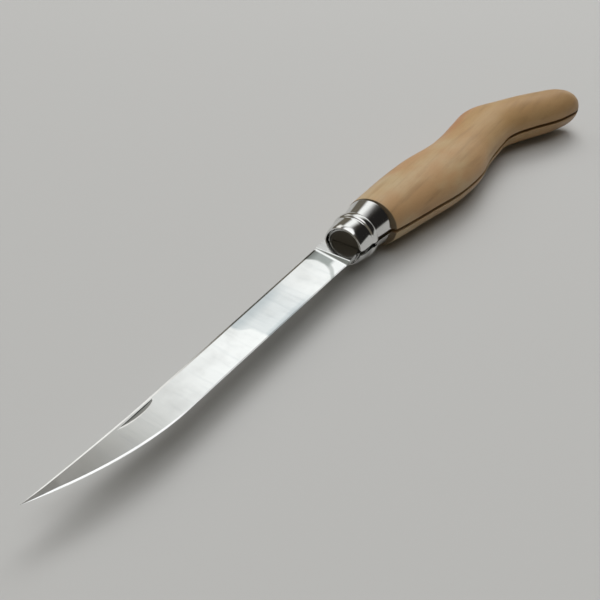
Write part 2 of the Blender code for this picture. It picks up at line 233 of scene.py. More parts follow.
@dataclass(frozen=True)
class FruitwoodFinish:
    """Pale fruitwood, carved, sanded and thinly oiled, warmer behind the bend, with painted warm light
    toward the spine and painted shade in the slot and on the end faces.
    """

    pale: Colour = (0.49, 0.370, 0.215)
    warm: Colour = (0.46, 0.285, 0.142)
    streak: Colour = (0.27, 0.165, 0.080)

    # The tone behind the bend.
    tail: Colour = (0.43, 0.262, 0.112)
    bend: Span = (72 * MM, 118 * MM)
    tail_share: float = 0.55
    tail_bands: float = 0.5

    # The spine side, which dips to the saddle and drops to the butt, and the warm orange tone painted along
    # it for the light that falls on that side.
    saddle: Span = (15 * MM, 85 * MM)
    saddle_depth: float = 8 * MM
    drop: Span = (125 * MM, 190 * MM)
    drop_depth: float = 26 * MM
    spine_light_amber: Colour = (0.43, 0.190, 0.066)
    spine_light_side: Span = (5.5 * MM, 11.0 * MM)
    spine_light_waver: float = 6 * MM
    spine_light_share: float = 0.25
    spine_light_tail: float = 0.65

    # Darker toward the butt, from a wavering start.
    darker_to_butt: Span = (125 * MM, 175 * MM)
    darker_to_butt_waver: float = 40 * MM
    darker_to_butt_share: float = 0.35

    # The slot's walls: raw saw-cut wood, painted dark for the shade inside the slot, below the spine side.
    sawn_shade: Colour = (0.055, 0.034, 0.019)
    sawn_shade_side: Span = (0.90 * MM, 0.65 * MM)
    sawn_shade_depth: Span = (8.6 * MM, 7.6 * MM)
    sawn_shade_share: float = 0.95
    butt: Span = (150 * MM, 190 * MM)
    butt_depth: float = 10 * MM

    # The two faces across the grain: end grain, painted dark for the shade on the shoulder's face and inside
    # the collar.
    shaded_shoulder_face: Colour = (0.150, 0.112, 0.066)
    shoulder: Span = (22.0 * MM, 21.6 * MM)
    shaded_end_face: Colour = (0.090, 0.078, 0.058)
    spigot_end: Span = (3.0 * MM, 2.5 * MM)

    roughness: float = 0.43
    fibre_rough: float = 0.22
    patch_rough: float = 0.12
    fibre_depth: float = 0.02 * MM
    band_relief: float = 0.8

    PATCHES = Grain((0.5, 1.0, 1.0), 64.0, 3.0, 0.5, (0.36, 0.66))
    BANDS = Grain((0.07, 1.0, 1.0), 330.0, 3.0, 0.5, (0.48, 0.80), 0.50)
    FIBRES = Grain((0.035, 1.0, 1.0), 2600.0, 3.0, 0.6, (0.50, 0.85), 0.28)
    PORES = Grain((0.10, 1.0, 1.0), 4200.0, 1.0, 0.5, (0.66, 0.74), 0.30)

    def material(self, origin: Vector) -> bpy.types.Material:
        """Make the wood, with its grain along the knife.

        Args:
            origin: The middle of the ring's front rim.

        Returns:
            The material.
        """
        made = bpy.data.materials.new("oiled_fruitwood")
        sheet = NodeSheet(made)
        place = sheet.place(origin)
        along, toward_spine, upright = sheet.axes(place)
        patch = self.PATCHES.on(sheet, place)
        bands = self.BANDS.on(sheet, place)
        fibre = self.FIBRES.on(sheet, place)
        pores = self.PORES.on(sheet, place)
        colour = sheet.mix(self.PATCHES.shown(sheet, patch), self.pale, self.warm)
        behind_bend = sheet.step(along, *self.bend)
        colour = sheet.mix(behind_bend * (self.tail_share + bands * self.tail_bands), colour, self.tail)
        sunk = sheet.step(along, *self.saddle) * self.saddle_depth
        sunk = sunk + sheet.step(along, *self.drop) * self.drop_depth
        # Painted warm light: a warm orange tone along the spine side, stronger behind the bend.
        wavering = toward_spine + sunk + (patch - 0.5) * self.spine_light_waver
        spine_light_amber = sheet.step(wavering, *self.spine_light_side) * (self.spine_light_share + behind_bend * self.spine_light_tail)
        colour = sheet.mix(spine_light_amber, colour, self.spine_light_amber)
        darker_to_butt = sheet.step(along + (patch - 0.5) * self.darker_to_butt_waver, *self.darker_to_butt)
        colour = sheet.mix(darker_to_butt * self.darker_to_butt_share, colour, self.streak)
        for grain, noise in ((self.BANDS, bands), (self.FIBRES, fibre), (self.PORES, pores)):
            colour = sheet.mix(grain.shown(sheet, noise), colour, self.streak)
        # Painted shade in the slot, over the raw saw-cut wood of its walls.
        lowered = toward_spine + sunk + sheet.step(along, *self.butt) * self.butt_depth
        sawn_shade = sheet.step(abs(upright), *self.sawn_shade_side) * sheet.step(lowered, *self.sawn_shade_depth)
        colour = sheet.mix(sawn_shade * self.sawn_shade_share, colour, self.sawn_shade)
        # Painted shade on the end-grain faces at the shoulder and at the spigot's end.
        colour = sheet.mix(sheet.step(along, *self.shoulder), colour, self.shaded_shoulder_face)
        colour = sheet.mix(sheet.step(along, *self.spigot_end), colour, self.shaded_end_face)
        rough = self.roughness + (fibre - 0.5) * self.fibre_rough + (patch - 0.5) * self.patch_rough
        sheet.surface({
            "Base Color": colour,
            "Roughness": rough,
            "Normal": sheet.bump(fibre + bands * self.band_relief, self.fibre_depth),
            "IOR": 1.48,
            "Specular IOR Level": 0.36,
            "Coat Weight": 0.06,
            "Coat Roughness": 0.32,
        })
        return made


@dataclass(frozen=True)
class SteelFinish:
    """Bare steel, with smudges and fine marks that run one way."""

    name: str
    tint: Colour
    roughness: float
    smudge_rough: float
    marks: Grain
    mark_depth: float

    SMUDGES = Grain((1.0, 1.0, 1.0), 95.0, 4.0, 0.55, (0.42, 0.72))
    SMUDGE_SHARE = 0.6
    SMUDGE_SHADE = 0.90
    MARK_ROUGH = 0.04

    def material(self, origin: Vector) -> bpy.types.Material:
        """Make the steel.

        Args:
            origin: The middle of the ring's front rim.

        Returns:
            The material.
        """
        made = bpy.data.materials.new(self.name)
        sheet = NodeSheet(made)
        place = sheet.place(origin)
        smudge = self.SMUDGES.on(sheet, place)
        marks = self.marks.on(sheet, place)
        dull = self.SMUDGES.shown(sheet, smudge)
        shade = tuple(channel * self.SMUDGE_SHADE for channel in self.tint)
        colour = sheet.mix(dull * self.SMUDGE_SHARE, self.tint, shade)
        sheet.surface({
            "Base Color": self.marks_and_painted_reflections(sheet, place, smudge, colour),
            "Metallic": 1.0,
            "Roughness": self.roughness + dull * self.smudge_rough + (marks - 0.5) * self.MARK_ROUGH,
            "Normal": sheet.bump(marks, self.mark_depth),
        })
        return made

    def marks_and_painted_reflections(self, sheet: NodeSheet, place: Signal, smudge: Signal, colour: Signal) -> Signal:
        """The colour with this piece's own marks and painted reflections. A plain piece has none."""
        return colour


@dataclass(frozen=True)
class BladeFinish(SteelFinish):
    """The blade's steel: cloudy streaks across it, and painted dark reflections: a bluish patch, and the
    grey plunge face and corner at the heel.
    """

    waver: float = 4.0 * MM

    # The painted dark reflection on the flat, a bluish patch, which is slanted at its tip side and stronger
    # toward the spine and the edge.
    reflection_and_streak_tint: Colour = (0.46, 0.505, 0.53)
    reflection_tip_side: Span = (-60.3 * MM, -58.7 * MM)
    reflection_heel_side: Span = (-28.0 * MM, -43.0 * MM)
    reflection_slant: Span = (0.0 * MM, 4.0 * MM)
    reflection_slip: float = 3.0 * MM
    reflection_share: float = 0.42
    reflection_streaks: float = 0.3
    spine_rim: Span = (1.5 * MM, 6.5 * MM)
    spine_rim_share: float = 0.40
    edge_rim: Span = (-4.0 * MM, -6.2 * MM)
    edge_rim_share: float = 0.45

    # The face between the plunge line and its leaning foot, painted grey for the dark reflection it shows.
    # past_foot is counted from the foot.
    plunge_reflection_grey: Colour = (0.27, 0.285, 0.26)
    plunge: Span = (-7.35 * MM, -7.80 * MM)
    foot: float = -9.13 * MM
    foot_lean: float = 0.125
    past_foot: Span = (0.25 * MM, 0.65 * MM)
    plunge_share: float = 0.9

    # The bowed grey corner in front of the foot, painted for the dark reflection there, darker toward the
    # spine and fading out partly toward the edge. corner_foot is counted from the foot too.
    corner: Colour = (0.30, 0.325, 0.315)
    corner_spine: Colour = (0.15, 0.16, 0.15)
    corner_spine_side: Span = (4.0 * MM, 7.4 * MM)
    corner_reach: Span = (-14.6 * MM, -13.0 * MM)
    corner_foot: Span = (-0.45 * MM, -1.0 * MM)
    corner_middle: float = 2.2 * MM
    corner_bow: float = 0.074 / MM
    corner_waver: float = 0.5
    corner_edge_side: Span = (-1.2 * MM, -3.4 * MM)
    corner_cleared: Span = (-12.2 * MM, -10.8 * MM)
    corner_thinning: float = 0.35
    corner_share: float = 0.92

    STREAKS = Grain((1.0, 0.10, 1.0), 520.0, 3.0, 0.6, (0.46, 0.74), 0.14)

    def marks_and_painted_reflections(self, sheet: NodeSheet, place: Signal, smudge: Signal, colour: Signal) -> Signal:
        """Add the streaks, and the painted dark reflections: the bluish patch, the plunge face and the bowed
        grey corner.

        Args:
            sheet: The material's nodes.
            place: The place, counted from the ring's front rim.
            smudge: The cloudy noise that the roughness follows.
            colour: The clean steel.

        Returns:
            The steel with its marks and painted reflections.
        """
        along, toward_spine, _ = sheet.axes(place)
        drift = (smudge - 0.5) * self.waver
        streaks = self.STREAKS.on(sheet, place)
        # Painted dark reflection: a bluish patch on the flat. The streaks share its tint.
        colour = sheet.mix(self.painted_reflection(sheet, along + drift, toward_spine, streaks), colour, self.reflection_and_streak_tint)
        colour = sheet.mix(self.STREAKS.shown(sheet, streaks), colour, self.reflection_and_streak_tint)
        # Painted dark reflections: the plunge face, then the bowed grey corner in front of its foot, darker
        # toward the spine.
        past = along - toward_spine * self.foot_lean - self.foot
        face = sheet.step(past, *self.past_foot) * sheet.step(along, *self.plunge)
        colour = sheet.mix(face * self.plunge_share, colour, self.plunge_reflection_grey)
        off_middle = toward_spine - self.corner_middle
        bowed = along + off_middle * off_middle * self.corner_bow + drift * self.corner_waver
        grey = self.cornered(sheet, bowed, past, toward_spine)
        shade = sheet.mix(sheet.step(toward_spine, *self.corner_spine_side), self.corner, self.corner_spine)
        return sheet.mix(grey, colour, shade)

    def painted_reflection(self, sheet: NodeSheet, along: Signal, toward_spine: Signal, streaks: Signal) -> Signal:
        """Work out how strongly the painted reflection patch shows.

        Args:
            sheet: The material's nodes.
            along: The place along the knife, with the patch's waver in it.
            toward_spine: The place across the blade.
            streaks: The noise of the cloudy streaks.

        Returns:
            The patch's share of the colour.
        """
        slanted = along + sheet.step(toward_spine, *self.reflection_slant) * self.reflection_slip
        patch = sheet.step(slanted, *self.reflection_tip_side) * sheet.step(along, *self.reflection_heel_side)
        rims = sheet.step(toward_spine, *self.spine_rim) * self.spine_rim_share
        rims = rims + sheet.step(toward_spine, *self.edge_rim) * self.edge_rim_share
        return patch * (self.reflection_share + rims + (streaks - 0.5) * self.reflection_streaks)

    def cornered(self, sheet: NodeSheet, bowed: Signal, past: Signal, toward_spine: Signal) -> Signal:
        """Work out how strongly the painted grey corner shows.

        Args:
            sheet: The material's nodes.
            bowed: The place along the knife, bent so that the corner's bow is straight.
            past: How far behind the plunge line's foot the place is.
            toward_spine: The place across the blade.

        Returns:
            The corner's share of the colour.
        """
        ground = sheet.step(bowed, *self.corner_reach) * sheet.step(past, *self.corner_foot)
        edge_side = sheet.step(toward_spine, *self.corner_edge_side)
        cleared = edge_side * sheet.step(bowed, *self.corner_cleared)
        return ground * (1 - cleared) * (1 - edge_side * self.corner_thinning) * self.corner_share


BLADE_STEEL = BladeFinish(
    "polished_blade_steel", tint=(0.83, 0.84, 0.84), roughness=0.13, smudge_rough=0.05,
    marks=Grain((1.0, 0.03, 1.0), 3200.0, 2.0, 0.6), mark_depth=0.0006 * MM,
)
NICK_STEEL = SteelFinish(
    "ground_nick_steel", tint=(0.31, 0.315, 0.305), roughness=0.36, smudge_rough=0.06,
    marks=Grain((0.2, 1.0, 1.0), 2400.0, 2.0, 0.6), mark_depth=0.001 * MM,
)
RING_STEEL = SteelFinish(
    "chromed_ring_steel", tint=(0.76, 0.76, 0.75), roughness=0.07, smudge_rough=0.05,
    marks=Grain((1.0, 0.1, 0.1), 2400.0, 2.0, 0.6), mark_depth=0.0004 * MM,
)
COLLAR_STEEL = SteelFinish(
    "chromed_collar_steel", tint=(0.73, 0.73, 0.72), roughness=0.08, smudge_rough=0.05,
    marks=Grain((1.0, 0.1, 0.1), 2400.0, 2.0, 0.6), mark_depth=0.0004 * MM,
)
RIVET_STEEL = SteelFinish(
    "rivet_steel", tint=(0.62, 0.61, 0.60), roughness=0.26, smudge_rough=0.10,
    marks=Grain((1.0, 1.0, 0.1), 3000.0, 2.0, 0.6), mark_depth=0.001 * MM,
)


# Modelling tools


class Part(Enum):
    """What an edit-mode selection is made of."""

    CORNERS = "VERT"
    EDGES = "EDGE"
    FACES = "FACE"


class Workbench:
    """Blender's modelling tools, always used on one piece with nothing else selected."""

    # Corners that are closer than TOUCHING are one, and closer than NEAR they share a cross-section.
    TOUCHING = 0.001 * MM
    NEAR = 0.01 * MM

    @staticmethod
    def clear() -> None:
        """Leave edit mode and deselect everything, the CAD nodes too."""
        if bpy.context.mode != "OBJECT":
            bpy.ops.object.mode_set(mode="OBJECT")
        bpy.ops.object.select_all(action="DESELECT")

    @staticmethod
    def take(piece: bpy.types.Object) -> None:
        """Make one piece the only selected one, and the active one.

        Args:
            piece: The piece.
        """
        Workbench.clear()
        piece.select_set(True)
        bpy.context.view_layer.objects.active = piece

    @staticmethod
    def claim(name: str) -> bpy.types.Object:
        """Name the primitive that was just added, carry its place into its mesh, and open it for editing.

        Args:
            name: The piece's name.

        Returns:
            The piece, with all of it selected.
        """
        piece = bpy.context.object
        piece.name = name
        piece.data.name = name
        bpy.ops.object.transform_apply(location=True, rotation=True, scale=True)
        bpy.ops.object.mode_set(mode="EDIT")
        bpy.ops.mesh.select_mode(type="VERT")
        bpy.ops.mesh.select_all(action="SELECT")
        return piece

    @staticmethod
    def disc(name: str, middle: Vector, radius: float, sides: int) -> bpy.types.Object:
        """Start a piece from a round face that is square to the knife's axis.

        Args:
            name: The piece's name.
            middle: The face's middle.
            radius: Its radius.
            sides: How many sides it has.

        Returns:
            The piece, open for editing.
        """
        Workbench.clear()
        turn = (0.0, math.pi / 2, 0.0)
        bpy.ops.mesh.primitive_circle_add(
            vertices=sides, radius=radius, fill_type="NGON", location=middle, rotation=turn
        )
        return Workbench.claim(name)

    @staticmethod
    def rod(name: str, middle: Vector, radius: float, length: float, sides: int) -> bpy.types.Object:
        """Start a piece or a cutter from an upright round rod.

        Args:
            name: Its name.
            middle: The rod's middle.
            radius: Its radius.
            length: Its length.
            sides: How many sides it has.

        Returns:
            The rod, open for editing.
        """
        Workbench.clear()
        bpy.ops.mesh.primitive_cylinder_add(vertices=sides, radius=radius, depth=length, location=middle)
        return Workbench.claim(name)

    @staticmethod
    def bar(name: str, low: Vector, high: Vector) -> bpy.types.Object:
        """Make a rectangular cutter.

        Args:
            name: Its name.
            low: Its lowest corner.
            high: Its highest corner.

        Returns:
            The cutter.
        """
        Workbench.clear()
        bpy.ops.mesh.primitive_cube_add(size=1.0, location=(low + high) / 2, scale=high - low)
        return Workbench.claim(name)

    @staticmethod
    def path(name: str, points: Sequence[Vector]) -> bpy.types.Object:
        """Start a piece from a plane that is shrunk to a corner, which is then drawn out along a path.

        Args:
            name: The piece's name.
            points: The path.

        Returns:
            The piece, open for editing.
        """
        Workbench.clear()
        bpy.ops.mesh.primitive_plane_add(size=MM, location=points[0])
        piece = Workbench.claim(name)
        bpy.ops.mesh.merge(type="CENTER")
        for here, there in zip(points, points[1:]):
            Workbench.extrude(there - here)
        return piece

    @staticmethod
    def extrude(step: Vector) -> None:
        """Extrude the selection by a step."""
        bpy.ops.mesh.extrude_region_move(TRANSFORM_OT_translate={"value": step})

    @staticmethod
    def resize(factors: tuple[float, float, float], middle: Vector) -> None:
        """Resize the selection about a point."""
        bpy.ops.transform.resize(value=factors, center_override=middle)

    @staticmethod
    def shift(step: Vector) -> None:
        """Move the selection by a step."""
        bpy.ops.transform.translate(value=step)

    @staticmethod
    def select(piece: bpy.types.Object, part: Part, test: Callable[[Vector], bool]) -> None:
        """Select the corners, edges or faces that pass a test.

        Args:
            piece: The piece that is open for editing.
            part: What to select.
            test: Says yes or no to a corner's place, or to the middle of an edge or face.
        """
        bpy.ops.mesh.select_mode(type=part.value)
        bpy.ops.mesh.select_all(action="DESELECT")
        skin = bmesh.from_edit_mesh(piece.data)
        for element in {Part.CORNERS: skin.verts, Part.EDGES: skin.edges, Part.FACES: skin.faces}[part]:
            ends = [element] if part is Part.CORNERS else element.verts
            element.select_set(test(sum((end.co for end in ends), Vector()) / len(ends)))
        skin.select_flush(True)
        bmesh.update_edit_mesh(piece.data)

    @staticmethod
    def corners_near(piece: bpy.types.Object, x: float) -> list[int]:
        """Find the corners of a cross-section.

        Args:
            piece: The piece that is open for editing.
            x: Where the cross-section is along X.

        Returns:
            The corners' numbers, from the lowest to the highest along Y.
        """
        skin = bmesh.from_edit_mesh(piece.data)
        near = [corner for corner in skin.verts if abs(corner.co.x - x) < Workbench.NEAR]
        return [corner.index for corner in sorted(near, key=lambda corner: corner.co.y)]

    @staticmethod
    def pick(piece: bpy.types.Object, numbers: Iterable[int]) -> None:
        """Select corners, with the edges between them.

        Args:
            piece: The piece that is open for editing.
            numbers: The corners' numbers.
        """
        bpy.ops.mesh.select_mode(type="VERT")
        bpy.ops.mesh.select_all(action="DESELECT")
        skin = bmesh.from_edit_mesh(piece.data)
        skin.verts.ensure_lookup_table()
        for number in numbers:
            skin.verts[number].select_set(True)
        skin.select_flush(True)
        bmesh.update_edit_mesh(piece.data)

    @staticmethod
    def face_outwards() -> None:
        """Merge doubles, turn every face outwards and leave edit mode."""
        bpy.ops.mesh.select_mode(type="VERT")
        bpy.ops.mesh.select_all(action="SELECT")
        bpy.ops.mesh.remove_doubles(threshold=Workbench.TOUCHING)
        bpy.ops.mesh.normals_make_consistent(inside=False)
        bpy.ops.object.mode_set(mode="OBJECT")

    @staticmethod
    def modify(piece: bpy.types.Object, kind: str, **settings: Any) -> None:
        """Add a modifier and apply it.

        Args:
            piece: The piece.
            kind: The modifier's type.
            settings: Its properties.
        """
        Workbench.take(piece)
        modifier = piece.modifiers.new(kind.lower(), kind)
        for name, value in settings.items():
            setattr(modifier, name, value)
        bpy.ops.object.modifier_apply(modifier=modifier.name)

    @staticmethod
    def carve(piece: bpy.types.Object, cutter: bpy.types.Object) -> None:
        """Take a cutter's shape out of a piece, and throw the cutter away."""
        Workbench.modify(piece, "BOOLEAN", operation="DIFFERENCE", solver="EXACT", object=cutter)
        bpy.data.objects.remove(cutter)

    @staticmethod
    def soften(piece: bpy.types.Object, width: float, sharp: float) -> None:
        """Round every sharp edge, then shade the piece.

        Args:
            piece: The piece.
            width: The rounding's width.
            sharp: From how many degrees on an edge is sharp.
        """
        Workbench.modify(
            piece, "BEVEL", limit_method="ANGLE", angle_limit=math.radians(sharp), width=width,
            segments=3, use_clamp_overlap=False, miter_outer="MITER_ARC",
        )
        Workbench.shade(piece, sharp)

    @staticmethod
    def shade(piece: bpy.types.Object, sharp: float) -> None:
        """Shade a piece smooth, with its larger faces leading.

        Args:
            piece: The piece.
            sharp: From how many degrees on an edge stays sharp.
        """
        Workbench.take(piece)
        bpy.ops.object.shade_smooth_by_angle(angle=math.radians(sharp), keep_sharp_edges=True)
        Workbench.modify(piece, "WEIGHTED_NORMAL", keep_sharp=True, weight=80)


# The knife's own axis


class Station(NamedTuple):
    """A cross-section: its place along the knife, its edge side and spine side, and half its thickness."""

    x: float
    low: float
    high: float
    half: float

    @property
    def middle(self) -> float:
        """The height halfway between its two sides."""
        return (self.low + self.high) / 2

    @property
    def height(self) -> float:
        """The distance between its two sides."""
        return self.high - self.low


@dataclass(frozen=True)
class KnifeAxis:
    """Where the knife lies in the frame."""

    ring_front: Vector
    pivot: Vector

    @classmethod
    def read(cls, joints: Iterable[Mapping[str, Any]]) -> "KnifeAxis":
        """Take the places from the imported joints."""
        places = {joint["name"]: Vector(joint["pos_m"]) for joint in joints}
        return cls(places["lock_ring_turn"], places["blade_fold"])

    def at(self, x: float, y: float = 0.0, z: float = 0.0) -> Vector:
        """The place x behind the ring's front rim, y toward the spine and z above the axis."""
        return self.ring_front + Vector((x, y, z))

    @property
    def pivot_x(self) -> float:
        """How far the pivot lies behind the ring's front rim."""
        return self.pivot.x - self.ring_front.x

    def draw_through(self, stations: Sequence[Station]) -> None:
        """Extrude the selection from station to station, moving and resizing it at each.

        Args:
            stations: The cross-sections, of which the first is the selection as it is.
        """
        for before, here in zip(stations, stations[1:]):
            Workbench.extrude(Vector((here.x - before.x, here.middle - before.middle, 0.0)))
            factors = (1.0, here.height / before.height, here.half / before.half)
            Workbench.resize(factors, self.at(here.x, here.middle))


def millimetres(*rows: tuple[float, ...]) -> tuple[tuple[float, ...], ...]:
    """Rows of sizes in metres, from rows that are written in millimetres."""
    return tuple(tuple(size * MM for size in row) for row in rows)


class SmoothRows:
    """A smooth curve through rows of sizes, each row starting with its distance."""

    def __init__(self, rows: Sequence[tuple[float, ...]]) -> None:
        """Keep the rows, in order of distance."""
        self.rows = rows

    def _slope(self, index: int, column: int) -> float:
        """Work out the curve's slope at a row.

        Args:
            index: The row.
            column: The size's column.

        Returns:
            The slope between the row's two neighbours.
        """
        before = self.rows[max(index - 1, 0)]
        after = self.rows[min(index + 1, len(self.rows) - 1)]
        return (after[column] - before[column]) / (after[0] - before[0])

    def at(self, distance: float) -> list[float]:
        """Read the sizes at a distance.

        Args:
            distance: A distance between the first row's and the last row's.

        Returns:
            One size for each column.
        """
        passed = sum(row[0] <= distance for row in self.rows)
        index = max(0, min(len(self.rows) - 2, passed - 1))
        near, far = self.rows[index], self.rows[index + 1]
        span = far[0] - near[0]
        t = (distance - near[0]) / span
        sizes = []
        for column in range(1, len(near)):
            start, end = near[column], far[column]
            leave = self._slope(index, column) * span
            arrive = self._slope(index + 1, column) * span
            cubic = 2 * start - 2 * end + leave + arrive
            square = 3 * end - 3 * start - 2 * leave - arrive
            sizes.append(((cubic * t + square) * t + leave) * t + start)
        return sizes


# Blade


@dataclass(frozen=True)
class Blade:
    """The long slicing blade with its tang, its plunge line and its nail nick."""

    axis: KnifeAxis
    length: float = 150.0 * MM
    thickness: float = 1.6 * MM
    spine: float = 8.1 * MM
    heel: float = 7.7 * MM
    belly_start: float = 98.0 * MM
    belly_edge: float = 5.3 * MM
    belly_power: float = 1.88
    tip_height: float = 10.3 * MM
    tip_flat: float = 0.16 * MM
    sweep_start: float = 104.0 * MM
    sweep_power: float = 1.6
    sharp: float = 3.6

    # The plunge line, and how far in front of it the cross-section lies that becomes its foot.
    plunge: float = 7.35 * MM
    plunge_slope: float = 0.235
    plunge_round: float = 0.30 * MM
    foot_round: float = 0.48 * MM
    foot_gap: float = 0.7 * MM
    foot_room: float = 0.1 * MM

    # The edge's bevel, the ground flat and the narrow band along the spine.
    edge_half: float = 0.055 * MM
    bevel_width: float = 0.45 * MM
    bevel_slope: float = 0.256
    bevel_growth: float = 0.6
    bevel_growth_rate: float = 3.0
    flat_slope: float = 0.0294
    band_width: float = 0.85 * MM
    band_slope: float = 0.114
    band_narrowing: float = 0.35
    crest_share: float = 0.88
    crest_drop: float = 0.08
    tip_share: float = 0.17

    tang_radius: float = 5.1 * MM
    hole: float = 1.75 * MM
    neck: float = 1.5 * MM
    neck_depth: float = 7.2 * MM
    neck_draft: float = 0.1 * MM
    shoulder: float = 0.3 * MM

    nick_middle: tuple[float, float] = (-111.06 * MM, 9.0 * MM)
    nick_reach: tuple[float, float] = (9.24 * MM, 3.38 * MM)
    nick_lean: float = math.radians(-9.58)
    nick_top: float = 6.9 * MM
    nick_wall_lean: float = 0.25
    nick_slope: float = math.radians(9.0)
    nick_wider: float = 0.22 * MM
    nick_lip_slope: float = math.radians(4.5)
    nick_lip_wider: float = 0.45 * MM
    nick_lip_depth: float = 0.04 * MM
    nick_rod: float = 14.0 * MM
    nick_room: tuple[float, float] = (1.1, 1.2)

    tang_steps: int = 28
    straight_steps: int = 32
    straight_start: int = 4
    belly_steps: int = 44
    round_steps: int = 5
    hole_sides: int = 128
    nick_sides: int = 256

    # Where the lengthwise rows are drawn, as shares of the height from the cutting edge to the spine.
    SHARES = (0.0, 0.05, 0.955, 0.99, 1.0)

    def spine_at(self, distance: float) -> float:
        """The spine's height: straight, then sweeping up a little to the tip."""
        share = max(0.0, (distance - self.sweep_start) / (self.length - self.sweep_start))
        return self.spine + (self.tip_height - self.spine) * share**self.sweep_power

    def belly_share(self, distance: float) -> float:
        """How far along the belly a place lies, from 0 to 1 at the tip."""
        return max(0.0, (distance - self.belly_start) / (self.length - self.belly_start))

    def edge_at(self, distance: float) -> float:
        """Work out the cutting edge, which is straight from the heel and then curves up to the tip.

        Args:
            distance: How far in front of the ring's front rim.

        Returns:
            The edge's height, below the knife's axis at the heel.
        """
        if distance <= self.belly_start:
            share = (distance - self.plunge) / (self.belly_start - self.plunge)
            return -self.heel + (self.heel - self.belly_edge) * share
        rise = self.tip_height - self.tip_flat + self.belly_edge
        return -self.belly_edge + rise * self.belly_share(distance) ** self.belly_power

    def rows_at(self, distance: float) -> list[tuple[float, float]]:
        """Work out the lengthwise rows of the ground blade.

        Args:
            distance: How far in front of the ring's front rim.

        Returns:
            The height and the half thickness of each row, from the edge to the spine.
        """
        edge = self.edge_at(distance)
        spine = self.spine_at(distance)
        belly = self.belly_share(distance)
        widest = self.tip_share * (spine - edge)
        growth = self.bevel_growth * min(1.0, self.bevel_growth_rate * belly)
        bevel = min(self.bevel_width * (1.0 + growth), widest)
        band = min(self.band_width * (1.0 - self.band_narrowing * belly), widest)
        low = self.edge_half + self.bevel_slope * bevel
        high = low + self.flat_slope * (spine - edge - bevel - band)
        crest = high - self.band_slope * self.crest_share * band
        return [
            (edge, self.edge_half),
            (edge + bevel, low),
            (spine - band, high),
            (spine - (1.0 - self.crest_share) * band, crest),
            (spine, crest - self.crest_drop * band),
        ]

    def foot_at(self, half: float) -> float:
        """How far in front of the ring the plunge line's foot lies, at a height above the blade's middle."""
        return self.plunge + (self.thickness / 2 - half) / self.plunge_slope

    def ground_distances(self) -> list[float]:
        """Place the ground blade's cross-sections.

        Returns:
            Their distances in front of the ring, from the plunge line's foot to the tip.
        """
        distances = [self.plunge + self.foot_gap]
        for step in range(self.straight_start, self.straight_steps + 1):
            distances.append(self.belly_start * step / self.straight_steps)
        reach = self.length - self.belly_start
        for step in range(1, self.belly_steps + 1):
            distances.append(self.belly_start + reach * step / self.belly_steps)
        return distances

    def stations(self) -> list[Station]:
        """Work out the blade's cross-sections before it is ground.

        Returns:
            The cross-sections from the tang's end to the tip.
        """
        half = self.thickness / 2
        pivot = self.axis.pivot_x
        rows = []
        for step in range(1, self.tang_steps + 1):
            angle = math.pi / 2 * step / self.tang_steps
            rise = self.tang_radius * math.sin(angle)
            rows.append(Station(pivot + self.tang_radius * math.cos(angle), -rise, rise, half))
        rows += [
            Station(-self.shoulder, -self.neck_depth + 2 * self.neck_draft, self.tang_radius, half),
            Station(-2 * self.shoulder, -self.neck_depth + self.neck_draft, self.spine, half),
            Station(-self.neck, -self.neck_depth, self.spine, half),
        ]
        for distance in [self.plunge, *self.ground_distances()]:
            rows.append(Station(-distance, self.edge_at(distance), self.spine_at(distance), half))
        return rows

    def section(self, end: Station) -> bpy.types.Object:
        """Start from one narrow upright face, drawn upwards row by row.

        Args:
            end: The cross-section at the tang's end.

        Returns:
            The piece, open for editing and selected all over.
        """
        first = self.SHARES[1] * end.height
        Workbench.clear()
        bpy.ops.mesh.primitive_plane_add(
            size=1.0, location=self.axis.at(end.x, end.low + first / 2), rotation=(0.0, math.pi / 2, 0.0)
        )
        bpy.ops.transform.resize(value=(1.0, first, 2 * end.half))
        piece = Workbench.claim("blade_polished")
        for low, high in zip(self.SHARES[1:], self.SHARES[2:]):
            top = self.axis.at(end.x, end.low + low * end.height).y
            Workbench.select(piece, Part.EDGES, lambda middle: abs(middle.y - top) < Workbench.TOUCHING)
            Workbench.extrude(Vector((0.0, (high - low) * end.height, 0.0)))
        bpy.ops.mesh.select_all(action="SELECT")
        return piece

    def grind(self, piece: bpy.types.Object) -> None:
        """Bring each row to its place, keep the bevel sharp, and round off the plunge line and its foot.

        Args:
            piece: The blade's blank, open for editing.
        """
        distances = self.ground_distances()
        sections = [Workbench.corners_near(piece, self.axis.at(-distance).x) for distance in distances]
        for distance, section in zip(distances, sections):
            edge = self.edge_at(distance)
            height = self.spine_at(distance) - edge
            for row, (target, half) in enumerate(self.rows_at(distance)):
                Workbench.pick(piece, section[2 * row : 2 * row + 2])
                slip = distance - self.foot_at(half) if distance == distances[0] else 0.0
                Workbench.shift(Vector((slip, target - edge - self.SHARES[row] * height, 0.0)))
                Workbench.resize((1.0, 1.0, 2 * half / self.thickness), self.axis.ring_front)
        for row in (0, 1):
            line = [corner for section in sections for corner in section[2 * row : 2 * row + 2]]
            Workbench.pick(piece, line)
            bpy.ops.mesh.mark_sharp()
        Workbench.pick(piece, Workbench.corners_near(piece, self.axis.at(-self.plunge).x))
        bpy.ops.mesh.bevel(offset=self.plunge_round, segments=self.round_steps, affect="EDGES")
        Workbench.select(piece, Part.CORNERS, self.on_foot)
        bpy.ops.mesh.bevel(offset=self.foot_round, segments=self.round_steps, affect="EDGES")

    def on_foot(self, place: Vector) -> bool:
        """Test for the plunge line's slanting foot.

        Args:
            place: A corner's place.

        Returns:
            Whether the corner lies on the foot.
        """
        half = abs(place.z - self.axis.ring_front.z)
        distance = self.axis.ring_front.x - place.x
        in_front = distance > self.plunge + self.foot_gap - self.foot_room
        return in_front and abs(distance - self.foot_at(half)) < 2 * Workbench.NEAR

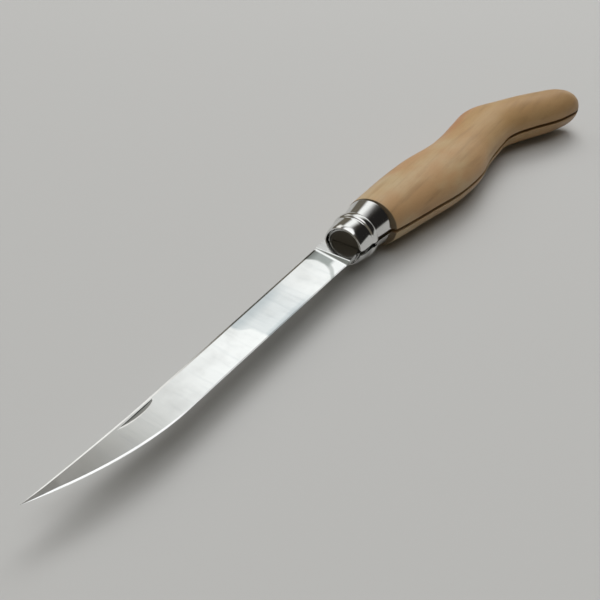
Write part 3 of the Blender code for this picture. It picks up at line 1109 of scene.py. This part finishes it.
    def flat_at(self, x: float, y: float) -> float:
        """The height of the ground flat above the knife's axis."""
        (bottom, low), (top, high) = self.rows_at(-x)[1:3]
        return low + (high - low) * (y - bottom) / (top - bottom)

    def in_nick(self, place: Vector) -> bool:
        """Test for the nick.

        Args:
            place: A face's middle.

        Returns:
            Whether the face lies in the nick, deeper than its lip.
        """
        x, y, z = place - self.axis.ring_front
        along = abs(x - self.nick_middle[0]) < self.nick_room[0] * self.nick_reach[0]
        across = self.nick_middle[1] - self.nick_room[1] * self.nick_reach[1] < y < self.nick_top
        return along and across and z > 0.0 and self.flat_at(x, y) - z > self.nick_lip_depth

    def nick_cutter(self, name: str, slope: float, wider: float) -> bpy.types.Object:
        """Make a lying oval rod that cuts a slope down toward the spine, and ends in the nick's upper wall.

        Args:
            name: The cutter's name.
            slope: How steeply the slope goes down from the ground flat, in radians.
            wider: How much wider than the nick its outline is.

        Returns:
            The cutter.
        """
        x, y = self.nick_middle
        z = self.flat_at(x, y)
        reach = [half + wider for half in self.nick_reach]
        Workbench.clear()
        bpy.ops.mesh.primitive_cylinder_add(
            vertices=self.nick_sides,
            radius=1.0,
            depth=self.nick_rod,
            location=self.axis.at(x, y, z),
            scale=(reach[0], reach[1] * math.sin(slope), 1.0),
            rotation=(math.atan(self.flat_slope) - math.pi / 2 - slope, 0.0, self.nick_lean),
        )
        cutter = Workbench.claim(name)
        wall = self.axis.at(x, self.nick_top, z)
        square = (0.0, 1.0, -self.nick_wall_lean)
        bpy.ops.mesh.bisect(plane_co=wall, plane_no=square, use_fill=True, clear_outer=True)
        return cutter

    def build(self) -> bpy.types.Object:
        """Model the blade and dress it.

        Returns:
            The blade.
        """
        stations = self.stations()
        piece = self.section(stations[0])
        self.axis.draw_through(stations)
        self.grind(piece)
        Workbench.face_outwards()
        through = 4 * self.thickness
        hole = Workbench.rod("tang_hole", self.axis.pivot, self.hole, through, self.hole_sides)
        Workbench.carve(piece, hole)
        Workbench.carve(piece, self.nick_cutter("nick_rod", self.nick_slope, self.nick_wider))
        Workbench.carve(piece, self.nick_cutter("nick_lip_rod", self.nick_lip_slope, self.nick_lip_wider))
        Workbench.shade(piece, self.sharp)
        for steel in (BLADE_STEEL, NICK_STEEL):
            piece.data.materials.append(steel.material(self.axis.ring_front))
        bpy.ops.object.mode_set(mode="EDIT")
        Workbench.select(piece, Part.FACES, self.in_nick)
        piece.active_material_index = 1
        bpy.ops.object.material_slot_assign()
        bpy.ops.object.mode_set(mode="OBJECT")
        return piece


# Collar, ring and rivet


@dataclass(frozen=True)
class TurnedSleeve:
    """What the steel sleeves share: a sheet wall that is turned round the knife's axis and slotted."""

    axis: KnifeAxis
    slot: float = 1.9 * MM
    rim_round: float = 0.18 * MM
    turns: int = 160
    sharp: float = 38.0

    def outline(self) -> list[Corner]:
        """The wall's outline as (x, radius): the outer side from the front, then the inner side back."""
        raise NotImplementedError

    def sleeve(self, name: str, finish: SteelFinish) -> bpy.types.Object:
        """Turn the wall's outline round the axis, slot it, round its edges and dress it.

        Args:
            name: The sleeve's name.
            finish: Its steel.

        Returns:
            The sleeve.
        """
        outline = self.outline()
        points = [self.axis.at(x, radius) for x, radius in outline]
        piece = Workbench.path(name, [*points, points[0]])
        bpy.ops.mesh.select_mode(type="EDGE")
        bpy.ops.mesh.select_all(action="SELECT")
        bpy.ops.mesh.spin(
            steps=self.turns, angle=2 * math.pi, center=self.axis.ring_front, axis=(1.0, 0.0, 0.0)
        )
        Workbench.face_outwards()
        front = min(x for x, _ in outline) - MM
        rear = max(x for x, _ in outline) + MM
        reach = max(radius for _, radius in outline) + MM
        low = self.axis.at(front, -reach, -self.slot / 2)
        high = self.axis.at(rear, 0.0, self.slot / 2)
        Workbench.carve(piece, Workbench.bar("slot_bar", low, high))
        Workbench.soften(piece, self.rim_round, self.sharp)
        piece.data.materials.append(finish.material(self.axis.ring_front))
        return piece


@dataclass(frozen=True)
class LockRing(TurnedSleeve):
    """The split ring: a full neck that narrows to the front rim, and a flared rear lip."""

    slot: float = 2.0 * MM
    wall: float = 0.6 * MM
    bore: float = 7.95 * MM
    neck_length: float = 7.2 * MM
    steps: int = 90

    # The outer side: distance from the front rim, radius.
    NECK = millimetres(
        (0.0, 8.5),
        (1.2, 8.95),
        (3.2, 9.26),
        (5.2, 9.41),
        (6.8, 9.47),
        (7.4, 9.58),
        (7.8, 9.92),
        (8.2, 10.13),
        (8.8, 10.23),
        (9.5, 10.25),
        (10.2, 10.21),
        (10.8, 10.08),
    )

    def outline(self) -> list[Corner]:
        """Draw a smooth outer side, and a bore that follows the lip.

        Returns:
            The outline as (x, radius).
        """
        curve = SmoothRows(self.NECK)
        length = self.NECK[-1][0]
        places = [length * step / self.steps for step in range(self.steps + 1)]
        outer = [(x, curve.at(x)[0]) for x in places]
        inner = [(x, radius - self.wall) for x, radius in reversed(outer) if x > self.neck_length]
        return [*outer, *inner, (self.neck_length, self.bore), (0.0, self.bore)]

    def build(self) -> bpy.types.Object:
        """Model the ring and dress it."""
        return self.sleeve("lock_ring_turned", RING_STEEL)


@dataclass(frozen=True)
class FixedCollar(TurnedSleeve):
    """The pressed collar: a neck under the ring and a bare band that widens to the wood."""

    wall: float = 0.5 * MM
    setback: float = 0.9 * MM
    neck_radius: float = 7.3 * MM
    band_start: float = 11.1 * MM
    band_front: float = 9.0 * MM
    band_rear: float = 10.55 * MM
    band_turn: float = 0.6 * MM
    turn_in: float = 0.04 * MM
    length: float = 21.2 * MM

    def outline(self) -> list[Corner]:
        """Draw the neck, a step and the widening band, which turns in a little at the wood.

        Returns:
            The outline as (x, radius).
        """
        inside = self.neck_radius - self.wall
        step = self.band_start + self.wall
        taper = self.length - self.band_turn
        return [
            (self.setback, self.neck_radius),
            (self.band_start, self.neck_radius),
            (self.band_start, self.band_front),
            (taper, self.band_rear),
            (self.length, self.band_rear - self.turn_in),
            (self.length, self.band_rear - self.wall),
            (taper, self.band_rear - self.wall),
            (step, self.band_front - self.wall),
            (step, inside),
            (self.setback, inside),
        ]

    def build(self) -> bpy.types.Object:
        """Model the collar and dress it."""
        return self.sleeve("fixed_collar_turned", COLLAR_STEEL)


@dataclass(frozen=True)
class PivotRivet:
    """The cross-pin, with peened ends, hidden under the ring."""

    axis: KnifeAxis
    radius: float = 1.5 * MM
    half_length: float = 7.2 * MM
    sides: int = 48
    peen_rim: float = 0.35 * MM
    peen_slope: float = 0.45 * MM
    peen_depth: float = 0.08 * MM
    edge_round: float = 0.18 * MM
    sharp: float = 32.0

    def build(self) -> bpy.types.Object:
        """Model the rivet and dress it.

        Returns:
            The rivet.
        """
        length = 2 * self.half_length
        piece = Workbench.rod("pivot_rivet_peened", self.axis.pivot, self.radius, length, self.sides)
        Workbench.select(piece, Part.FACES, self.at_end)
        bpy.ops.mesh.inset(thickness=self.peen_rim, depth=0.0)
        bpy.ops.mesh.inset(thickness=self.peen_slope, depth=-self.peen_depth)
        Workbench.face_outwards()
        Workbench.soften(piece, self.edge_round, self.sharp)
        piece.data.materials.append(RIVET_STEEL.material(self.axis.ring_front))
        return piece

    def at_end(self, place: Vector) -> bool:
        """Whether a face's middle lies on one of the rivet's two ends."""
        return abs(abs(place.z - self.axis.pivot.z) - self.half_length) < Workbench.NEAR


# Handle


@dataclass(frozen=True)
class CarvedHandle:
    """The bent one-piece handle: turned spigot, carved body, round butt and the slot for the blade."""

    axis: KnifeAxis
    blade: Blade
    shoulder: float = 21.5 * MM
    length: float = 163.14 * MM
    spigot_start: float = 1.2 * MM
    spigot_radius: float = 6.65 * MM
    step: float = 12.1 * MM
    step_draft: float = 0.3 * MM
    seat_front: float = 8.3 * MM
    seat_rear: float = 9.8 * MM
    edge_round: float = 0.45 * MM
    edge_turn: float = 0.3
    butt_rounding: float = 13.0 * MM
    butt_point: float = 0.02 * MM
    slot: float = 1.7 * MM
    slot_clearance: float = 0.8 * MM
    tang_clearance: float = 0.4 * MM
    slot_front: float = -2.0 * MM
    slot_drop: float = 90.0 * MM
    slot_round: float = 0.12 * MM
    sharp: float = 40.0
    fold: float = math.radians(172.0)
    drill_length: float = 30.0 * MM
    drill_sides: int = 48
    sides: int = 84
    body_steps: int = 100
    butt_steps: int = 20
    slot_steps: int = 20

    # The carved body: distance from the shoulder, spine side, edge side, half the thickness.
    ROWS = millimetres(
        (0.0, 10.95, -12.75, 10.95),
        (8.0, 11.05, -14.9, 11.15),
        (23.2, 11.1, -18.3, 11.6),
        (43.2, 10.0, -22.8, 12.1),
        (63.2, 6.4, -24.0, 12.2),
        (78.2, 5.9, -21.9, 12.0),
        (93.2, 7.0, -21.0, 11.8),
        (108.2, 7.4, -21.4, 11.5),
        (123.2, 0.7, -27.5, 11.2),
        (138.2, -6.9, -35.3, 10.9),
        (153.2, -17.9, -39.9, 10.6),
        (163.2, -24.0, -43.0, 10.3),
    )
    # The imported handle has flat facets, so this share of the oval stays inside it.
    GIRTH = 0.9965

    def oval(self, curve: SmoothRows, distance: float, share: float) -> Station:
        """Draw in one of the body's cross-sections toward its middle.

        Args:
            curve: The body's rows.
            distance: How far behind the shoulder.
            share: The share of its size that it keeps.

        Returns:
            The cross-section.
        """
        spine, edge, half = curve.at(distance)
        middle = (spine + edge) / 2
        width = (spine - edge) / 2 * share
        return Station(self.shoulder + distance, middle - width, middle + width, half * share)

    def stations(self) -> list[Station]:
        """Work out the handle's cross-sections.

        Returns:
            The cross-sections from the spigot to the butt.
        """
        turned = [
            (self.spigot_start, self.spigot_radius),
            (self.step, self.spigot_radius),
            (self.step + self.step_draft, self.seat_front),
            (self.shoulder - self.step_draft, self.seat_rear),
        ]
        rows = [Station(x, -radius, radius, radius) for x, radius in turned]
        curve = SmoothRows(self.ROWS)
        spine, edge, half = curve.at(0.0)
        turn = self.edge_turn * self.edge_round
        for inset, x in ((self.edge_round, 0.0), (turn, turn)):
            rows.append(Station(self.shoulder + x, edge + inset, spine - inset, half - inset))
        run = self.length - self.butt_rounding - self.edge_round
        for step in range(self.body_steps + 1):
            rows.append(self.oval(curve, self.edge_round + run * step / self.body_steps, self.GIRTH))
        for step in range(1, self.butt_steps):
            angle = math.pi / 2 * step / self.butt_steps
            distance = self.length - self.butt_rounding * (1.0 - math.sin(angle))
            rows.append(self.oval(curve, distance, self.GIRTH * math.cos(angle)))
        return rows

    def body(self) -> bpy.types.Object:
        """Extrude a round face from the spigot to the butt and close the butt to a point.

        Returns:
            The body, without its slot.
        """
        stations = self.stations()
        start = stations[0]
        piece = Workbench.disc("handle_carved", self.axis.at(start.x), start.half, self.sides)
        self.axis.draw_through(stations)
        Workbench.extrude(Vector((self.butt_point, 0.0, 0.0)))
        bpy.ops.mesh.merge(type="COLLAPSE")
        Workbench.face_outwards()
        return piece

    def folded(self, x: float, y: float) -> Vector:
        """Find where a place on the open blade lies once the blade is folded.

        Args:
            x: Its place behind the ring's front rim.
            y: Its height above the knife's axis.

        Returns:
            The place in the frame.
        """
        pivot = self.axis.pivot_x
        across = x - pivot
        turn = (math.cos(self.fold), math.sin(self.fold))
        return self.axis.at(pivot + across * turn[0] - y * turn[1], across * turn[1] + y * turn[0])

    def slot_cutter(self) -> bpy.types.Object:
        """Make a sheet as wide as the slot, with the folded cutting edge as its floor.

        Returns:
            The cutter.
        """
        blade = self.blade
        room = blade.tang_radius + self.tang_clearance
        floor = [self.axis.at(self.slot_front, room), self.axis.at(self.axis.pivot_x, room)]
        edge = [(-blade.neck, -blade.neck_depth), (-blade.plunge, -blade.heel)]
        reach = blade.length - blade.belly_start
        for step in range(self.slot_steps + 1):
            distance = blade.belly_start + reach * step / self.slot_steps
            edge.append((-distance, blade.edge_at(distance)))
        floor += [self.folded(x, y - self.slot_clearance) for x, y in edge]
        tip = blade.length + self.slot_clearance
        floor.append(self.folded(-tip, blade.tip_height - self.slot_clearance))
        _, _, butt_edge, _ = self.ROWS[-1]
        floor.append(self.axis.at(self.shoulder + self.length, butt_edge))
        side = Vector((0.0, 0.0, self.slot / 2))
        cutter = Workbench.path("slot_sheet", [point - side for point in floor])
        for step in (Vector((0.0, -self.slot_drop, 0.0)), 2 * side):
            bpy.ops.mesh.select_all(action="SELECT")
            Workbench.extrude(step)
        Workbench.face_outwards()
        return cutter

    def build(self) -> bpy.types.Object:
        """Model the handle and dress it.

        Returns:
            The handle.
        """
        piece = self.body()
        Workbench.carve(piece, self.slot_cutter())
        drill = Workbench.rod(
            "rivet_drill", self.axis.pivot, self.blade.hole, self.drill_length, self.drill_sides
        )
        Workbench.carve(piece, drill)
        Workbench.soften(piece, self.slot_round, self.sharp)
        piece.data.materials.append(FruitwoodFinish().material(self.axis.ring_front))
        return piece


# Studio


def toward(azimuth: float, elevation: float) -> tuple[float, float, float]:
    """Find the unit vector of a heading.

    Args:
        azimuth: Its angle from +X, in degrees.
        elevation: Its angle above the floor, in degrees.

    Returns:
        The vector.
    """
    flat = math.cos(math.radians(elevation))
    east = math.cos(math.radians(azimuth)) * flat
    north = math.sin(math.radians(azimuth)) * flat
    return east, north, math.sin(math.radians(elevation))


@dataclass(frozen=True)
class SkySpot:
    """A round spot in the sky, full within some degrees of its middle and gone farther off."""

    glow: Colour
    middle: Heading
    faint: float
    full: float

    def over(self, sheet: NodeSheet, ray: Signal, sky: Signal) -> Signal:
        """Lay the spot over the sky.

        Args:
            sheet: The world's nodes.
            ray: The direction that is looked along.
            sky: The colour behind the spot.

        Returns:
            The sky with the spot.
        """
        facing = sheet.facing(ray, toward(*self.middle))
        mask = sheet.step(facing, math.cos(math.radians(self.faint)), math.cos(math.radians(self.full)))
        return sheet.mix(mask, sky, self.glow)


@dataclass(frozen=True)
class SkyPane:
    """A soft-edged pane of light in the sky. Each edge fades in from one heading to another."""

    glow: Colour
    right: tuple[Heading, Heading]
    left: tuple[Heading, Heading]
    low: tuple[Heading, Heading]
    high: tuple[Heading, Heading]

    def over(self, sheet: NodeSheet, ray: Signal, sky: Signal) -> Signal:
        """Lay the pane over the sky.

        Args:
            sheet: The world's nodes.
            ray: The direction that is looked along.
            sky: The colour behind the pane.

        Returns:
            The sky with the pane.
        """
        mask: Signal | float = 1.0
        for faint, full in (self.right, self.left, self.low, self.high):
            start = Vector(toward(*faint))
            end = Vector(toward(*full))
            across = end - start
            mask = sheet.step(sheet.facing(ray, across), start.dot(across), end.dot(across)) * mask
        return sheet.mix(mask, sky, self.glow)


@dataclass(frozen=True)
class Softbox:
    """A broad soft lamp that lights the knife from a direction and a distance.

    Steel doesn't mirror it, because the sky's panes already stand for what it mirrors.
    """

    name: str
    azimuth: float
    elevation: float
    distance: float
    width: float
    height: float
    radiance: float
    tint: Colour = (1.0, 1.0, 1.0)

    def hang(self, target: Vector) -> None:
        """Hang the lamp.

        Args:
            target: What it is aimed at.
        """
        data = bpy.data.lights.new(self.name, "AREA")
        data.shape = "RECTANGLE"
        data.size = self.width
        data.size_y = self.height
        data.energy = self.radiance * math.pi * self.width * self.height
        data.color = self.tint
        lamp = bpy.data.objects.new(self.name, data)
        bpy.context.scene.collection.objects.link(lamp)
        lamp.location = target + Vector(toward(self.azimuth, self.elevation)) * self.distance
        lamp.rotation_euler = (math.radians(90.0 - self.elevation), 0.0, math.radians(self.azimuth + 90.0))
        lamp.visible_glossy = False


@dataclass(frozen=True)
class Studio:
    """A plain pale floor and backdrop, soft lamps, a sky for the steel to mirror, and the camera."""

    axis: KnifeAxis
    floor_tone: Colour = (0.52, 0.52, 0.51)
    floor_size: float = 12.0

    # The sky changes over a span of heights on the unit sphere, and the backdrop ends over one of degrees.
    sky_low: Colour = (0.150, 0.134, 0.104)
    sky_high: Colour = (0.40, 0.41, 0.42)
    sky_rise: Span = (0.75, 0.95)
    backdrop: Colour = (0.50, 0.50, 0.48)
    backdrop_top: Span = (10.0, 4.0)

    lens: float = 42.0
    sensor: float = 36.0
    camera_azimuth: float = math.radians(33.87)
    camera_elevation: float = math.radians(39.79)
    camera_place: tuple[float, float, float] = (-198.7 * MM, -112.8 * MM, 162.5 * MM)
    clip_start: float = 10.0 * MM

    # Half a pixel of the photograph's 600.
    camera_shift: float = -0.5 / 600

    ACROSS = SkySpot(glow=(0.018, 0.017, 0.016), middle=(-52.0, 24.0), faint=62.0, full=22.0)
    OVERHEAD = SkySpot(glow=(1.25, 1.25, 1.25), middle=(0.0, 88.0), faint=31.0, full=21.0)
    WINDOW = SkyPane(
        glow=(1.18, 1.20, 1.18),
        right=((-14.0, 48.0), (14.0, 40.0)),
        left=((70.0, 61.0), (39.0, 47.0)),
        low=((35.0, 29.5), (26.0, 39.5)),
        high=((33.0, 76.0), (11.0, 56.0)),
    )
    LOW_WINDOW = SkyPane(
        glow=(1.06, 1.05, 1.01),
        right=((49.0, 38.0), (57.0, 38.0)),
        left=((96.0, 38.0), (82.0, 38.0)),
        low=((66.0, 21.0), (66.0, 32.0)),
        high=((60.0, 53.0), (60.0, 46.0)),
    )
    LAMPS = (
        Softbox("window_light", 26.0, 46.0, 3.0, 1.6, 1.2, 7.0, (0.99, 0.99, 1.0)),
        Softbox("overhead_light", -40.0, 82.0, 3.0, 3.0, 2.4, 0.8),
    )

    def floor(self) -> None:
        """Lay the floor at the height the knife lies on."""
        Workbench.clear()
        bpy.ops.mesh.primitive_plane_add(size=self.floor_size, location=(0.0, 0.0, 0.0))
        floor = bpy.context.object
        floor.name = "floor"
        made = bpy.data.materials.new("pale_floor")
        NodeSheet(made).surface({"Base Color": (*self.floor_tone, 1.0), "Roughness": 0.9})
        floor.data.materials.append(made)

    def light(self) -> None:
        """Hang the lamps and shade the sky, bright in the windows and overhead, and dark across from them.

        The camera sees a plain pale backdrop in its place, and so does the steel, low over the floor.
        """
        for lamp in self.LAMPS:
            lamp.hang(self.axis.ring_front)
        world = bpy.data.worlds.new("studio")
        bpy.context.scene.world = world
        sheet = NodeSheet(world)
        ray = sheet.node("ShaderNodeTexCoord", output="Generated")
        _, _, rise = sheet.axes(ray)
        colour = sheet.mix(sheet.step(rise, *self.sky_rise), self.sky_low, self.sky_high)
        for patch in (self.ACROSS, self.OVERHEAD, self.WINDOW, self.LOW_WINDOW):
            colour = patch.over(sheet, ray, colour)
        seen = sheet.node("ShaderNodeLightPath", output="Is Camera Ray")
        mirrored = seen.output("Is Glossy Ray")
        low = sheet.step(rise, *(math.sin(math.radians(degrees)) for degrees in self.backdrop_top))
        colour = sheet.mix(seen + mirrored * low, colour, self.backdrop)
        shader = sheet.node("ShaderNodeBackground", inputs={"Color": colour, "Strength": 1.0})
        sheet.node("ShaderNodeOutputWorld", inputs={"Surface": shader})

    def camera(self) -> None:
        """Put the camera where the photograph was taken from."""
        data = bpy.data.cameras.new("camera")
        data.lens = self.lens
        data.sensor_width = self.sensor
        data.shift_y = self.camera_shift
        data.clip_start = self.clip_start
        camera = bpy.data.objects.new("camera", data)
        bpy.context.scene.collection.objects.link(camera)
        camera.location = self.axis.at(*self.camera_place)
        tilt = math.pi / 2 - self.camera_elevation
        camera.rotation_euler = (tilt, 0.0, self.camera_azimuth - math.pi / 2)
        bpy.context.scene.camera = camera

    def set_up(self) -> None:
        """Make the whole studio."""
        self.floor()
        self.light()
        self.camera()
        bpy.context.scene.view_settings.view_transform = "Standard"


# Assembly


@dataclass(frozen=True)
class Mounting:
    """How a dressed piece joins the frame."""

    body: str
    node: str
    slot: str

    def fix(self, piece: bpy.types.Object) -> None:
        """Ride on the body and stand for the CAD node.

        Args:
            piece: The dressed piece.
        """
        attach(piece, self.body)
        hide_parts(self.node)
        LOG.info("%s: %d faces, rides on %s", piece.name, len(piece.data.polygons), self.body)


def main() -> None:
    """Dress the knife, piece by piece, and set up the studio."""
    logging.basicConfig(level=logging.INFO, format="%(name)s: %(message)s")
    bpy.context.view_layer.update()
    axis = KnifeAxis.read(frame["joints"])
    blade = Blade(axis)
    Mounting("blade_body", "blade", "blade_steel").fix(blade.build())
    Mounting("ring_body", "lock_ring", "ring_steel").fix(LockRing(axis).build())
    Mounting("handle_body", "fixed_collar", "collar_steel").fix(FixedCollar(axis).build())
    Mounting("handle_body", "pivot_rivet", "rivet_steel").fix(PivotRivet(axis).build())
    Mounting("handle_body", "handle", "handle_wood").fix(CarvedHandle(axis, blade).build())
    Studio(axis).set_up()


if __name__ == "__main__":
    main()
